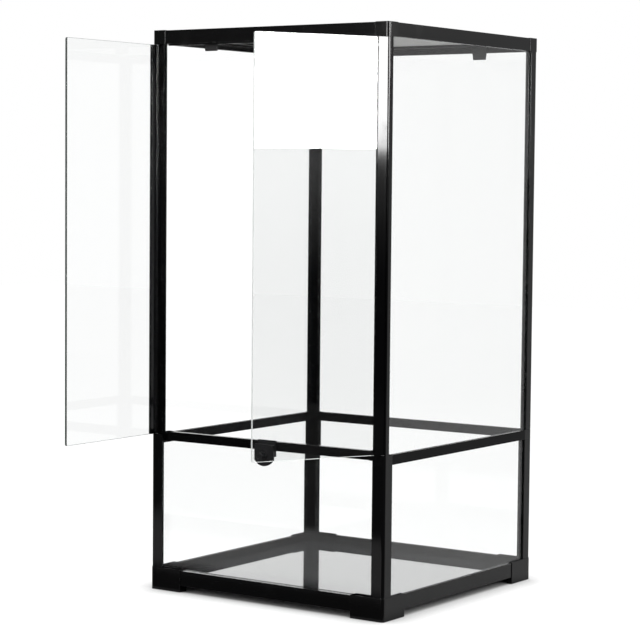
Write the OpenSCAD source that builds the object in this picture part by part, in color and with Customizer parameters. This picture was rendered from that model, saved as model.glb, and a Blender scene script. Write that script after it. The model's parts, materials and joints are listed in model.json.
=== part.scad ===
// Terrarium cabinet: a tall glass cabinet in a black plastic frame, with fixed
// panes below, two glass doors above them, a keyed lock between, and a lid of
// fine screen. Millimetres, +Z up, X to the right and Y to the back.
// The origin is on the ground, under the middle of the cabinet.

/* [Cabinet] */
// Overall width over the feet
cabinet_w = 450; // [400:10:600]
// Overall depth over the feet
cabinet_d = 450; // [400:10:600]
// Overall height
cabinet_h = 900; // [800:10:1000]
// Height of the underside of the side and back mid rails
mid_z = 237; // [200:1:300]
// How much higher the front mid rail sits
front_mid_rise = 6; // [3:0.5:6]

/* [Corner pieces] */
// Length of a foot's legs
foot_leg = 60; // [50:1:80]
// Height of the feet
foot_h = 36.5; // [33:0.5:40]
// Length of a top corner's legs
top_leg = 25; // [24:0.5:40]
// Height of the top corners
top_h = 22.5; // [22:0.5:26]
// Radius of the cabinet's upright edges
edge_r = 5; // [4:0.1:5.2]
// How far the base rails stand back from the feet
rail_inset = 1.2; // [0.8:0.1:1.6]
// How far the posts and top rails stand back from the corner pieces
post_inset = 0.6; // [0.4:0.1:0.8]

/* [Posts and rails] */
// Leg of the lower posts and of the mid joints
lower_leg = 22.5; // [21.5:0.5:30]
// Reach of the front mid joints along the front mid rail
joint_reach = 32.5; // [31:0.5:40]
// Leg of the upper back posts
upper_leg = 19.5; // [18:0.5:21]
// Width of the upper front posts across the front
channel_w = 21; // [19:0.5:21.5]
// Depth of the upper front posts along the side
channel_side = 13; // [12.5:0.5:16]
// Depth of the post and rail profiles that hold a pane
profile_t = 9.6; // [9.4:0.1:10]
// Height of the side and back mid rails
mid_h = 15.5; // [15:0.5:20]
// Height of the front mid rail
front_mid_h = 14.5; // [14:0.5:16]
// How far the mid joints stand over the mid rails, top and bottom
mid_over = 0.5; // [0.3:0.1:1]
// Clear height under the base rails
base_gap = 11; // [8:0.5:12]
// How far the base rails end below the feet's top
base_drop = 1.5; // [1:0.1:2]
// How far the top rails stand back from the top corners, top and bottom
top_drop = 0.6; // [0.5:0.1:1.2]
// Depth of the top rails, out to the lid
top_rail_t = 17; // [16.5:0.5:19]

/* [Glass] */
// Thickness of the fixed panes
pane_t = 4; // [3.5:0.1:4.2]
// Clearance between a pane and each side of its groove
groove_gap = 0.2; // [0.1:0.05:0.25]
// Wall between a side or back pane and the outer face of the cabinet
pane_inset = 3.1; // [2.9:0.1:3.3]
// Distance of the panes' upright edges from the cabinet's outer faces
pane_edge = 12.5; // [12:0.1:13]
// Depth of the panes in the mid rails
mid_bite = 6; // [5:0.1:6.2]
// Depth of the panes in the base and top rails
rail_bite = 8; // [6:0.1:8.2]
// Thickness of the floor panel
floor_t = 5; // [4:0.1:6]
// Height of the floor panel's underside
floor_z = 15.5; // [14:0.1:16]

/* [Doors] */
// Depth of the front recess in which the doors close
door_recess = 8.4; // [8.2:0.1:8.8]
// Thickness of the door glass
door_t = 4; // [3.6:0.1:4.2]
// Gap between the two closed doors
door_gap = 2; // [1.5:0.1:3]
// Gap behind the closed doors, to the stop lip and the lock
stop_gap = 0.6; // [0.4:0.1:0.8]
// Gap between a hinge strip and what is below and above it
strip_end_gap = 0.3; // [0.2:0.1:0.5]
// Thickness of the hinge strips
strip_t = 6.5; // [6.2:0.1:6.8]
// Width of a hinge strip from its pin to its far edge
strip_w = 16.5; // [15:0.5:17]
// Gap between a closed hinge strip and the channel behind it
strip_gap = 0.9; // [0.6:0.1:1]
// Distance of the hinge pins from the cabinet's sides
hinge_in = 5.9; // [5.8:0.1:6.2]
// Radius of the hinge pins
pin_r = 1.75; // [1.5:0.05:1.8]
// Running clearance of the hinge pins in their bushes, on the radius
pin_play = 0.06; // [0.04:0.01:0.08]
// Radius of the bushes
bush_r = 3; // [2.8:0.1:3.1]
// Depth of the bushes in the frame
bush_depth = 8; // [6:0.5:9]
// Angle to which the left door stands open, from closed
left_open = 90; // [0:1:94]
// Angle to which the right door stands open, from closed
right_open = 62; // [0:1:94]

/* [Lock] */
// Width of the lock's housing
lock_w = 36; // [32:1:44]
// Height of the housing's top above the front mid rail's underside
lock_top = 10; // [8.5:0.1:10.2]
// Height of the lock's half-round lower end
lock_drop = 34.2; // [34:0.1:38]
// Radius of the half-round lower end
lock_round_r = 21.5; // [20:0.5:26]
// How far the housing stands proud of the cabinet's front
lock_proud = 1; // [0.8:0.1:1.6]
// Distance of the plug's axis below the housing's top
plug_down = 17.3; // [16.5:0.1:18]
// Radius of the plug
plug_r = 4.5; // [4.2:0.1:5]
// Radius of the barrel around the plug
barrel_r = 6.3; // [6:0.1:7]
// How far the barrel stands out of the housing
barrel_out = 12; // [4:0.5:14]
// Thickness of the bolt
bolt_t = 1.7; // [1.4:0.1:1.8]
// Width of the bolt
bolt_w = 27; // [24:1:28]
// Lift of the bolt over a quarter turn of the key
bolt_lift = 6; // [5:0.1:6.5]

/* [Lid] */
// Height of the lid's frame
lid_h = 9; // [8:0.5:10]
// Width of the lid's frame
lid_rim = 17.5; // [16:0.5:22]
// Gap around the lid
lid_gap = 0.6; // [0.4:0.1:1]
// Width of the ledge that carries the lid
ledge_w = 5; // [4:0.1:6]
// Thickness of the ledge
ledge_t = 2.5; // [2:0.1:3]
// Gaps in the screen along each side
screen_gaps = 17; // [8:1:17]
// Width of the screen's flat wires
wire_w = 1.6; // [1:0.1:3]
// Thickness of each of the screen's two layers of wires
wire_t = 0.5; // [0.3:0.05:0.8]
// Distance of the latches from the cabinet's middle
latch_x = 125.5; // [100:0.5:140]
// Width of a latch's finger tab at its top
latch_w = 28; // [24:1:32]
// How far the finger tabs hang below the lid
latch_hang = 21.5; // [18:0.5:26]
// Travel of the latches
latch_travel = 12; // [8:1:14]

/* [Hidden] */
$fn = 48;
eps = 0.01;

front_y = -cabinet_d / 2;
stop_y = front_y + door_recess;

// heights
base_top = foot_h - base_drop;
pane_low_z = base_top - rail_bite;
front_mid_z = mid_z + front_mid_rise;
front_mid_top = front_mid_z + front_mid_h;
mid_top = mid_z + mid_h;
joint_z = mid_z - mid_over;
joint_top = mid_top + mid_over;
top_z = cabinet_h - top_h;
rail_low_z = top_z + top_drop;
rail_top_z = cabinet_h - top_drop;

// grooves and panes
slot_t = pane_t + 2 * groove_gap;
slot_in = pane_inset - groove_gap;
slot_end = pane_edge - 0.5;
front_pane_in = door_recess + 2;
front_slot_in = front_pane_in - groove_gap;
front_profile_t = front_slot_in + slot_t + 2.8;
pane_top_gap = 0.5;

// doors
hinge_y = stop_y - strip_gap - strip_t / 2;
hinge_x = cabinet_w / 2 - hinge_in;
door_len = hinge_x - door_gap / 2;
flange_t = 0.4;
strip_z = joint_top + flange_t + strip_end_gap;
strip_top = top_z - flange_t - strip_end_gap;
strip_in = 6.5;
strip_slot = door_t + 0.2;
door_back_y = hinge_y + door_t / 2;
stop_face_y = door_back_y + stop_gap;
pin_grip = 12;
pin_end_gap = 1;

// lock
lock_y = front_y - lock_proud;
lock_z = front_mid_z + lock_top;
lock_low = lock_z - lock_drop;
plug_z = lock_z - plug_down;
cavity_gap = 0.15;
bolt_y = lock_y + 1;
bolt_low = plug_z - 9;
bolt_top = lock_z - 0.2;
cam_r = bolt_lift / sqrt(2);
cam_pin_r = 1.2;
cam_slot_gap = 0.3;
plug_play = 0.05;
deep_z = plug_z - 1.5;

// lid
ledge_top = cabinet_h - 12.5;
ledge_z = ledge_top - ledge_t;
lid_out = top_rail_t + lid_gap;
lid_in = lid_out + lid_rim;
lid_w = cabinet_w - 2 * lid_out;
lid_d = cabinet_d - 2 * lid_out;
screen_bite = 4;
screen_play = 0.3;
screen_z = ledge_top + 0.45 * lid_h;
layer_gap = 0.05;
screen_t = 2 * wire_t + layer_gap;
latch_in = top_rail_t + ledge_w + 0.6;
latch_t = 3;
tongue_gap = 0.5;
tongue_t = 3;
latch_slot_gap = 0.2;

// ---------------------------------------------------------------- places

// Puts a piece drawn at the corner x = 0, y = 0 into one of the four corners
module in_corner(right, back) {
    translate([right ? cabinet_w / 2 : -cabinet_w / 2, back ? cabinet_d / 2 : front_y])
        mirror([right ? 1 : 0, 0, 0])
            mirror([0, back ? 1 : 0, 0])
                children();
}

// Puts a piece drawn along X, with y inwards from the outer face, on one side
module on_front() {
    translate([0, front_y]) children();
}

module on_back() {
    rotate(180) translate([0, -cabinet_d / 2]) children();
}

module on_left() {
    rotate(-90) translate([0, -cabinet_w / 2]) children();
}

module on_right() {
    rotate(90) translate([0, -cabinet_w / 2]) children();
}

// Runs a profile, drawn as inward distance and height, along X
module run(len) {
    rotate([90, 0, 90]) linear_extrude(len, center = true) children();
}

// Puts a door piece, drawn from its pin along +X, at its opening angle
module at_left_hinge() {
    translate([-hinge_x, hinge_y]) rotate(-left_open) children();
}

module at_right_hinge() {
    translate([hinge_x, hinge_y]) rotate(right_open) mirror([1, 0, 0]) children();
}

// ---------------------------------------------------------------- profiles

// A square of the corner's outline: its outer edge is rounded
module rounded_leg(inset, w, d) {
    translate([inset, inset]) {
        translate([edge_r, 0]) square([w - inset - edge_r, d - inset]);
        translate([0, edge_r]) square([w - inset, d - inset - edge_r]);
        translate([edge_r, edge_r]) circle(edge_r);
    }
}

// An L of two legs, with its own thickness along each face
module corner_l(inset, leg_x, leg_y, front_t, side_t) {
    difference() {
        rounded_leg(inset, leg_x, leg_y);
        translate([side_t, front_t]) square([leg_x, leg_y]);
    }
}

// Grooves for the two panes that meet in a corner
module pane_slots(front, front_from, side_from, reach) {
    across_in = front ? front_slot_in : slot_in;
    translate([front_from, across_in]) square([reach, slot_t]);
    translate([slot_in, side_from]) square([slot_t, reach]);
}

// ---------------------------------------------------------------- base

module foot(right, back) {
    face_t = back ? profile_t : front_profile_t;
    color("#1c1c1e") in_corner(right, back) difference() {
        linear_extrude(foot_h) corner_l(0, foot_leg, foot_leg, face_t, profile_t);
        translate([0, 0, pane_low_z]) linear_extrude(foot_h)
            pane_slots(!back, slot_end, slot_end, foot_leg);
    }
}

// Section of a base rail: groove for the pane above, ledge for the floor inside
module base_section(face_t, groove_in) {
    ledge_reach = 6;
    ledge_thick = 3;
    difference() {
        translate([rail_inset, base_gap]) square([face_t - rail_inset, base_top - base_gap]);
        translate([groove_in, pane_low_z]) square([slot_t, rail_bite + 1]);
    }
    translate([face_t - eps, floor_z - ledge_thick]) square([ledge_reach + eps, ledge_thick]);
}

module base_rail(len, front = false) {
    face_t = front ? front_profile_t : profile_t;
    groove_in = front ? front_slot_in : slot_in;
    color("#232325") run(len - 2 * foot_leg) base_section(face_t, groove_in);
}

// Dark panel laid on the ledges of the base rails
module floor_panel() {
    play = 0.5;
    w = cabinet_w - 2 * (profile_t + play);
    y0 = front_y + front_profile_t + play;
    y1 = cabinet_d / 2 - profile_t - play;
    color("#101214") translate([-w / 2, y0, floor_z]) cube([w, y1 - y0, floor_t]);
}

// ---------------------------------------------------------------- lower section

// Cuts the leg along the front, which slants back from its inner edge
module front_slant() {
    slant = 0.75 * front_profile_t;
    polygon([
        [lower_leg, post_inset], [lower_leg + 1, post_inset],
        [lower_leg + 1, front_profile_t], [lower_leg - slant, front_profile_t]
    ]);
}

module lower_post(right, back) {
    face_t = back ? profile_t : front_profile_t;
    color("#1a1a1c") in_corner(right, back) translate([0, 0, foot_h])
        linear_extrude(joint_z - foot_h) difference() {
            corner_l(post_inset, lower_leg, lower_leg, face_t, profile_t);
            pane_slots(!back, slot_end, slot_end, lower_leg);
            if (!back)
                front_slant();
        }
}

// A fixed pane, standing on the floor of its groove
module pane(len, face_in, z0, z1) {
    color("#cfe3dc", 0.35) translate([-len / 2, face_in, z0]) cube([len, pane_t, z1 - z0]);
}

module lower_pane_front() {
    on_front()
        pane(cabinet_w - 2 * pane_edge, front_pane_in, pane_low_z, front_mid_z + mid_bite - pane_top_gap);
}

module lower_side_pane(len) {
    pane(len - 2 * pane_edge, pane_inset, pane_low_z, mid_z + mid_bite - pane_top_gap);
}

// ---------------------------------------------------------------- mid height

// Joint between lower post, upper post and mid rails
module joint_corner(right, back) {
    face_t = back ? profile_t : front_profile_t;
    side_from = back ? slot_end : front_slot_in;
    translate([0, 0, joint_z]) linear_extrude(joint_top - joint_z) difference() {
        corner_l(post_inset, lower_leg, lower_leg, face_t, profile_t);
        pane_slots(!back, slot_end, side_from, lower_leg);
    }
}

// The front joints carry a hinge bush and reach out to the front mid rail
module mid_joint(right, back) {
    color("#1c1c1e") in_corner(right, back)
        if (back)
            joint_corner(right, back);
        else {
            difference() {
                joint_corner(right, back);
                bush_seat(joint_top - bush_depth);
                translate([0, 0, joint_z - 1])
                    linear_extrude(front_mid_z - mid_over - joint_z + 1) front_slant();
            }
            translate([lower_leg - eps, 0])
                rotate([90, 0, 90]) linear_extrude(joint_reach - lower_leg + eps)
                    front_mid_section(mid_over);
        }
}

// Section of a side or back mid rail: a groove above and one below
module mid_section() {
    difference() {
        translate([post_inset, mid_z]) square([profile_t - post_inset, mid_h]);
        translate([slot_in, mid_z - 1]) square([slot_t, mid_bite + 1]);
        translate([slot_in, mid_top - mid_bite]) square([slot_t, mid_bite + 1]);
    }
}

module mid_rail(len) {
    color("#232325") run(len - 2 * lower_leg) mid_section();
}

// The front mid rail stands back, so that the doors close in front of it
module front_mid_section(over = 0) {
    difference() {
        translate([door_recess, front_mid_z - over])
            square([front_profile_t - door_recess, front_mid_h + 2 * over]);
        translate([front_slot_in, front_mid_z - over - 1]) square([slot_t, mid_bite + over + 1]);
    }
}

module mid_rail_front() {
    color("#1e1e20") on_front() run(cabinet_w - 2 * joint_reach) front_mid_section();
}

// ---------------------------------------------------------------- upper section

// Back posts: an L with a groove in each leg
module upper_post_back(right) {
    color("#1a1a1c") in_corner(right, true) translate([0, 0, joint_top])
        linear_extrude(top_z - joint_top) difference() {
            corner_l(post_inset, upper_leg, upper_leg, profile_t, profile_t);
            pane_slots(false, slot_end, slot_end, upper_leg);
        }
}

// Front posts: an open channel for the hinge strip, with a fluted floor
module channel_section() {
    wall = 1.6;
    floor_thick = 2.6;
    flute_w = 2;
    flute_deep = 0.8;
    flutes = 4;
    difference() {
        rounded_leg(post_inset, channel_w, channel_side);
        translate([post_inset + wall, -1]) square([channel_w, door_recess + 1]);
        translate([profile_t, door_recess + floor_thick]) square([channel_w, channel_side]);
        translate([slot_in, front_slot_in]) square([slot_t, channel_side]);
        for (i = [0:flutes - 1])
            translate([channel_w - 3 - (i + 0.5) * 2 * flute_w, door_recess - 1])
                square([flute_w, flute_deep + 1]);
    }
}

module upper_post_front(right) {
    color("#1a1a1c") in_corner(right, false) translate([0, 0, joint_top])
        linear_extrude(top_z - joint_top) channel_section();
}

module upper_pane_back() {
    on_back()
        pane(cabinet_w - 2 * pane_edge, pane_inset, mid_top - mid_bite, rail_low_z + rail_bite - pane_top_gap);
}

// The side panes reach further forward, into the front posts
module upper_side_pane(right) {
    y0 = front_y + front_slot_in + 0.5;
    y1 = cabinet_d / 2 - pane_edge;
    z0 = mid_top - mid_bite;
    z1 = rail_low_z + rail_bite - pane_top_gap;
    x = right ? cabinet_w / 2 - pane_inset - pane_t : -cabinet_w / 2 + pane_inset;
    color("#cfe3dc", 0.35) translate([x, y0, z0]) cube([pane_t, y1 - y0, z1 - z0]);
}

// ---------------------------------------------------------------- top frame

// Upper part of every top rail: ledge for the lid and a hollow wall beside it
module top_wall_section(wall_low) {
    chamber = 2.2;
    difference() {
        translate([post_inset, wall_low]) square([top_rail_t - post_inset, rail_top_z - wall_low]);
        translate([profile_t, ledge_top])
            square([top_rail_t - profile_t - chamber, rail_top_z - ledge_top - chamber]);
    }
    translate([top_rail_t - eps, ledge_z]) square([ledge_w + eps, ledge_t]);
}

// Side and back rails reach down as a thinner wall with the pane's groove in it
module top_section() {
    difference() {
        union() {
            top_wall_section(ledge_z);
            translate([post_inset, rail_low_z]) square([profile_t - post_inset, ledge_z - rail_low_z + eps]);
        }
        translate([slot_in, rail_low_z - 1]) square([slot_t, rail_bite + 1]);
    }
}

// The front rail has no pane: a lip hangs behind the doors' upper edge
module top_front_section() {
    under = 2.2;
    difference() {
        top_wall_section(rail_low_z);
        translate([post_inset + under, rail_low_z + under])
            square([top_rail_t - post_inset - 2 * under, ledge_z - rail_low_z - under]);
    }
}

module stop_lip() {
    lip_t = 2.4;
    lip_drop = 3;
    side_clear = hinge_in + strip_w + 4.5;
    translate([0, stop_face_y + lip_t / 2, rail_low_z - lip_drop / 2 + eps / 2])
        cube([cabinet_w - 2 * side_clear, lip_t, lip_drop + eps], center = true);
}

// Gap in the ledge through which a latch's tongue lifts out
module ledge_notches() {
    notch = latch_w + 2;
    for (x = [-latch_x, latch_x])
        translate([x - notch / 2, top_rail_t, ledge_z - 1]) cube([notch, ledge_w + 1, ledge_t + 2]);
}

module top_rail_front() {
    color("#232325") {
        on_front() difference() {
            run(cabinet_w - 2 * top_leg) top_front_section();
            ledge_notches();
        }
        stop_lip();
    }
}

module top_rail_back() {
    color("#232325") on_back() difference() {
        run(cabinet_w - 2 * top_leg) top_section();
        ledge_notches();
    }
}

module top_rail_side() {
    color("#232325") run(cabinet_d - 2 * top_leg) top_section();
}

// Top corners cap the posts; the front ones carry the upper hinge bushes
module top_corner(right, back) {
    color("#1c1c1e") in_corner(right, back) difference() {
        translate([0, 0, top_z]) linear_extrude(top_h)
            corner_l(0, top_leg, top_leg, top_rail_t, top_rail_t);
        translate([0, 0, top_z - 1]) linear_extrude(top_drop + rail_bite + 1)
            if (back)
                pane_slots(false, slot_end, slot_end, top_leg);
            else
                translate([slot_in, front_slot_in]) square([slot_t, top_leg]);
        if (!back)
            bush_seat(top_z);
    }
}

// ---------------------------------------------------------------- hinges

module bush_seat(z) {
    translate([hinge_in, hinge_y - front_y, z - eps]) cylinder(h = bush_depth + 2 * eps, r = bush_r);
}

// A flanged bush standing on z = 0, flange on top
module bush() {
    difference() {
        union() {
            cylinder(h = bush_depth, r = bush_r);
            translate([0, 0, bush_depth]) cylinder(h = flange_t, r = bush_r + 0.4);
        }
        translate([0, 0, -1]) cylinder(h = bush_depth + flange_t + 2, r = pin_r + pin_play);
    }
}

module hinge_bushes() {
    color("#8c8f93")
        for (x = [-hinge_x, hinge_x]) {
            translate([x, hinge_y, joint_top - bush_depth]) bush();
            translate([x, hinge_y, top_z + bush_depth]) mirror([0, 0, 1]) bush();
        }
}

// ---------------------------------------------------------------- doors

// Outline of a hinge strip: round knuckle edge, grooved faces, glass slot
module strip_section() {
    rib = 1;
    difference() {
        union() {
            circle(strip_t / 2);
            translate([0, -strip_t / 2]) square([strip_w, strip_t]);
        }
        circle(pin_r + 0.02);
        translate([strip_in, -strip_slot / 2]) square([strip_w, strip_slot]);
        for (x = [1.5, 4.5])
            translate([x, strip_t / 2 - 0.5]) square([rib, 1]);
    }
}

module hinge_strip() {
    color("#161618") translate([0, 0, strip_z]) linear_extrude(strip_top - strip_z) strip_section();
}

// Glass clamped in the strip, with slightly rounded free corners
module door_glass() {
    inset = strip_in + 0.3;
    corner = 3;
    h = strip_top - strip_z;
    color("#cfe3dc", 0.35) translate([0, door_t / 2, strip_z]) rotate([90, 0, 0])
        linear_extrude(door_t) {
            translate([inset, 0]) square([door_len - inset - corner, h]);
            translate([door_len - corner - eps, corner]) square([corner + eps, h - 2 * corner]);
            for (z = [corner, h - corner])
                translate([door_len - corner, z]) circle(corner);
        }
}

// Two steel pins, one held in each end of the strip
module hinge_pins() {
    low_z = joint_top - bush_depth + pin_end_gap;
    high_z = top_z + bush_depth - pin_end_gap;
    color("#b5b7ba") {
        translate([0, 0, low_z]) cylinder(h = strip_z + pin_grip - low_z, r = pin_r);
        translate([0, 0, strip_top - pin_grip]) cylinder(h = high_z - strip_top + pin_grip, r = pin_r);
    }
}

// ---------------------------------------------------------------- lock

// Face of the lock: straight sides and a half-round lower end
module lock_outline() {
    mid = lock_low + lock_round_r;
    translate([-lock_w / 2, mid]) square([lock_w, lock_z - mid]);
    intersection() {
        translate([0, mid]) circle(lock_round_r);
        translate([-lock_w / 2, lock_low - 1]) square([lock_w, lock_round_r + 2]);
    }
}

// Extrudes a shape drawn in X and Z backwards from y0
module from_front(y0, depth) {
    translate([0, y0 + depth, 0]) rotate([90, 0, 0]) linear_extrude(depth) children();
}

module lock_housing() {
    plate_t = 4;
    cap_rise = 1.7;
    cap_reach = 3.5;
    cap_t = stop_y - stop_face_y;
    cavity_w = bolt_w + 2 * cavity_gap;
    cavity_low = bolt_low - cavity_gap;
    color("#26262a") difference() {
        union() {
            from_front(lock_y, plate_t) lock_outline();
            from_front(lock_y, stop_y - lock_y)
                translate([-lock_w / 2, deep_z]) square([lock_w, lock_z - deep_z]);
            from_front(stop_face_y, cap_t)
                translate([-lock_w / 2 + 1, lock_z - 1]) square([lock_w - 2, front_mid_top + cap_rise - lock_z + 1]);
            from_front(stop_face_y, cap_reach)
                translate([-lock_w / 2 + 1, front_mid_top]) square([lock_w - 2, cap_rise]);
            translate([0, lock_y + 1, plug_z]) rotate([90, 0, 0]) cylinder(h = barrel_out + 1, r = barrel_r);
        }
        translate([0, bolt_y + 1, plug_z]) rotate([90, 0, 0])
            cylinder(h = barrel_out + 3, r = plug_r + plug_play);
        from_front(bolt_y - cavity_gap, bolt_t + 2 * cavity_gap)
            translate([-cavity_w / 2, cavity_low]) square([cavity_w, lock_z - cavity_low + 1]);
    }
}

// Turning plug with a key slot in front and an eccentric cam pin behind
module lock_plug() {
    front = lock_y - barrel_out + 0.4;
    back = bolt_y - 0.1;
    pin_back = bolt_y + bolt_t - 0.1;
    color("#b9babd") difference() {
        union() {
            translate([0, back, plug_z]) rotate([90, 0, 0]) cylinder(h = back - front, r = plug_r);
            translate([cam_r * cos(45), pin_back, plug_z - cam_r * sin(45)]) rotate([90, 0, 0])
                cylinder(h = pin_back - back + eps, r = cam_pin_r);
        }
        translate([-2.6, front - 1, plug_z - 0.6]) cube([5.2, 5, 1.2]);
    }
}

// Bolt plate with the cross slot in which the cam pin works
module lock_bolt() {
    slot_h = 2 * (cam_pin_r + cam_slot_gap);
    slot_mid = plug_z - cam_r * sin(45);
    slot_len = cam_r + cam_pin_r + 1;
    color("#9a9ca0") from_front(bolt_y, bolt_t) difference() {
        translate([-bolt_w / 2, bolt_low]) square([bolt_w, bolt_top - bolt_low]);
        translate([0, slot_mid - slot_h / 2]) square([slot_len, slot_h]);
    }
}

// ---------------------------------------------------------------- lid

// Slots through the lid's frame, in which the latches slide along X
module latch_slots() {
    stem = latch_w / 2;
    for (x = [-1, 1], y = [-1, 1])
        translate([
            x * (latch_x - latch_travel / 2) - (stem + latch_travel) / 2 - latch_slot_gap,
            y * (cabinet_d / 2 - latch_in - latch_t / 2) - latch_t / 2 - latch_slot_gap,
            ledge_top - 1
        ])
            cube([stem + latch_travel + 2 * latch_slot_gap, latch_t + 2 * latch_slot_gap, lid_h + 2]);
}

module lid_frame() {
    color("#1f1f21") difference() {
        translate([-lid_w / 2, -lid_d / 2, ledge_top]) cube([lid_w, lid_d, lid_h]);
        translate([-lid_w / 2 + lid_rim, -lid_d / 2 + lid_rim, ledge_top - 1])
            cube([lid_w - 2 * lid_rim, lid_d - 2 * lid_rim, lid_h + 2]);
        translate([-lid_w / 2 + lid_rim - screen_bite, -lid_d / 2 + lid_rim - screen_bite, screen_z])
            cube([lid_w - 2 * (lid_rim - screen_bite), lid_d - 2 * (lid_rim - screen_bite), screen_t + 0.2]);
        latch_slots();
    }
}

// One layer of flat wires, which run along X over an opening of the given span
module wire_layer(len, span) {
    pitch = (span - wire_w) / screen_gaps;
    for (i = [0:screen_gaps])
        translate([-len / 2, -span / 2 + i * pitch, 0]) cube([len, wire_w, wire_t]);
}

// Screen of two crossing layers, held in the groove of the lid's frame
module lid_screen() {
    hidden = screen_bite - screen_play;
    open_w = lid_w - 2 * lid_rim;
    open_d = lid_d - 2 * lid_rim;
    color("#2a2a2c") translate([0, 0, screen_z]) {
        wire_layer(open_w + 2 * hidden, open_d);
        translate([0, 0, wire_t + layer_gap]) rotate(90) wire_layer(open_d + 2 * hidden, open_w);
    }
}

// Sliding latch: finger tab below, tongue that slides under the ledge, button on top
module latch(right, back) {
    stem = latch_w / 2;
    narrow = 2.5;
    button_t = 1.6;
    tongue_w = latch_w - 2;
    tongue_z = ledge_z - tongue_gap - tongue_t;
    hang_z = ledge_top - latch_hang;
    under = 0.2;
    color("#141416")
        translate([right ? latch_x : -latch_x, back ? cabinet_d / 2 : front_y])
            mirror([0, back ? 1 : 0, 0]) {
                from_front(latch_in, latch_t)
                    polygon([
                        [-latch_w / 2 + narrow, hang_z], [latch_w / 2 - narrow, hang_z],
                        [latch_w / 2, tongue_z], [latch_w / 2, ledge_top - under],
                        [-latch_w / 2, ledge_top - under], [-latch_w / 2, tongue_z]
                    ]);
                translate([-tongue_w / 2, top_rail_t + 1, tongue_z])
                    cube([tongue_w, latch_in - top_rail_t - 1 + eps, tongue_t]);
                translate([-stem / 2, latch_in, ledge_top - under - eps])
                    cube([stem, latch_t, lid_h + 2 * under + 2 * eps]);
                translate([-stem / 2 - 1, latch_in - 2, ledge_top + lid_h + under])
                    cube([stem + 2, latch_t + 4, button_t]);
            }
}

// ---------------------------------------------------------------- parts

foot(false, false);  // foot_front_left
foot(true, false);  // foot_front_right
foot(false, true);  // foot_back_left
foot(true, true);  // foot_back_right
on_front() base_rail(cabinet_w, front = true);  // base_rail_front
on_back() base_rail(cabinet_w);  // base_rail_back
on_left() base_rail(cabinet_d);  // base_rail_left
on_right() base_rail(cabinet_d);  // base_rail_right
floor_panel();
lower_post(false, false);  // lower_post_front_left
lower_post(true, false);  // lower_post_front_right
lower_post(false, true);  // lower_post_back_left
lower_post(true, true);  // lower_post_back_right
lower_pane_front();
on_back() lower_side_pane(cabinet_w);  // lower_pane_back
on_left() lower_side_pane(cabinet_d);  // lower_pane_left
on_right() lower_side_pane(cabinet_d);  // lower_pane_right
mid_joint(false, false);  // mid_joint_front_left
mid_joint(true, false);  // mid_joint_front_right
mid_joint(false, true);  // mid_joint_back_left
mid_joint(true, true);  // mid_joint_back_right
mid_rail_front();
on_back() mid_rail(cabinet_w);  // mid_rail_back
on_left() mid_rail(cabinet_d);  // mid_rail_left
on_right() mid_rail(cabinet_d);  // mid_rail_right
upper_post_front(false);  // upper_post_front_left
upper_post_front(true);  // upper_post_front_right
upper_post_back(false);  // upper_post_back_left
upper_post_back(true);  // upper_post_back_right
upper_pane_back();
upper_side_pane(false);  // upper_pane_left
upper_side_pane(true);  // upper_pane_right
top_rail_front();
top_rail_back();
on_left() top_rail_side();  // top_rail_left
on_right() top_rail_side();  // top_rail_right
top_corner(false, false);  // top_corner_front_left
top_corner(true, false);  // top_corner_front_right
top_corner(false, true);  // top_corner_back_left
top_corner(true, true);  // top_corner_back_right
hinge_bushes();
at_left_hinge() door_glass();  // left_door_glass
at_left_hinge() hinge_strip();  // left_hinge_strip
at_left_hinge() hinge_pins();  // left_hinge_pins
at_right_hinge() door_glass();  // right_door_glass
at_right_hinge() hinge_strip();  // right_hinge_strip
at_right_hinge() hinge_pins();  // right_hinge_pins
lock_housing();
lock_plug();
lock_bolt();
lid_frame();
lid_screen();
latch(false, false);  // latch_front_left
latch(true, false);  // latch_front_right
latch(false, true);  // latch_back_left
latch(true, true);  // latch_back_right
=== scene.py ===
# %% [markdown]
# # A tall glass terrarium cabinet
# The real object is a frame of glossy black plastic profiles that holds sheets of
# clear glass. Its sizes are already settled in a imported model, so this script
# only dresses it: every piece sits in the same frame, in metres, with +Z up.

import json
from math import pi, radians

import bmesh
import bpy
from mathutils import Matrix, Vector


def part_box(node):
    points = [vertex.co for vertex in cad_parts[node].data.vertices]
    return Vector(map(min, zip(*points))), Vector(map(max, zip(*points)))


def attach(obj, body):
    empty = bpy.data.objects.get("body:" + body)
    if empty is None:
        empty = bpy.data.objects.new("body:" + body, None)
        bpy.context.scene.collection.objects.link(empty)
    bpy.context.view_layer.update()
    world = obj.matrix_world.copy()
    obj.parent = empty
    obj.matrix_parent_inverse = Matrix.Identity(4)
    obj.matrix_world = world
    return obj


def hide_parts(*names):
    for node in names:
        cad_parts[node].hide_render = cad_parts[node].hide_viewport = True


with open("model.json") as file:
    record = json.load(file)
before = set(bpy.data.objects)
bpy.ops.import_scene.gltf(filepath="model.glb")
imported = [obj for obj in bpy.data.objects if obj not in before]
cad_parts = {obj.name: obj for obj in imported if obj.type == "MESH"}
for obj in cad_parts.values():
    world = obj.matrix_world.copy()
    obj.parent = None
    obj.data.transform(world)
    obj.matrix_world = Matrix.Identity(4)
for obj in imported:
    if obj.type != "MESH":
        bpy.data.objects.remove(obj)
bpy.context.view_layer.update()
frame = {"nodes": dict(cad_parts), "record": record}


# %% [markdown]
# ## The view
# The photograph was taken with a long lens, off the front right corner and from
# about three quarters of the cabinet's height. A long lens keeps the uprights
# nearly parallel. The camera's turn is built from a heading, a tilt and a slight
# roll, because those three numbers are easy to read and to correct.

# %% Camera
CAMERA_PLACE = (1.9586, -2.8933, 0.6667)
CAMERA_HEADING, CAMERA_TILT, CAMERA_ROLL = 34.788, -3.787, 0.518
LENS, SENSOR_WIDTH, NEAREST_SEEN = 120.31, 36, 0.05


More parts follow.
